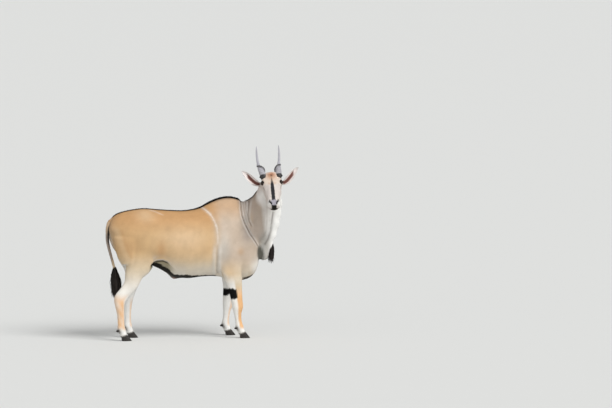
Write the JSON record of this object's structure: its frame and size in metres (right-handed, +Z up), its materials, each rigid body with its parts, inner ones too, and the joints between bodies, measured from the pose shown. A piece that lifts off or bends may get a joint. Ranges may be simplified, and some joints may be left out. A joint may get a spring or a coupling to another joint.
{
  "type": "common eland",
  "caption": "Life-size still model of a common eland bull standing with its head turned to its right, with ridged horns, hanging dewlap and black-tufted tail.",
  "frame": {"origin": "on the floor under the middle of the model's box", "axes": "+X forward along the body, +Y to the animal's left, +Z up"},
  "size_m": [2.0542, 0.771, 2.0371],
  "materials": {
    "coat": "short matt tan coat",
    "coat_grey": "short matt fawn-grey coat",
    "coat_face": "short matt coat of the face and ears",
    "coat_pale": "short pale coat of the lower legs",
    "hair_black": "long black hair",
    "horn": "ridged dark grey horn",
    "hoof": "dark hoof horn",
    "eye": "wet dark eye"
  },
  "bodies": {
    "root": {"dewlap_tuft": "hair_black", "ear_left": "coat_face", "ear_right": "coat_face", "eye_left": "eye", "eye_right": "eye", "forehoof_left_left": "hoof", "forehoof_left_right": "hoof", "forehoof_right_left": "hoof", "forehoof_right_right": "hoof", "foreleg_left": "coat_pale", "foreleg_right": "coat_pale", "head": "coat_face", "hindhoof_left_left": "hoof", "hindhoof_left_right": "hoof", "hindhoof_right_left": "hoof", "hindhoof_right_right": "hoof", "hindleg_left": "coat_pale", "hindleg_right": "coat_pale", "horn_left": "horn", "horn_right": "horn", "neck": "coat_grey", "tail": "coat_grey", "tail_tuft": "hair_black", "torso": "coat"}
  },
  "joints": []
}
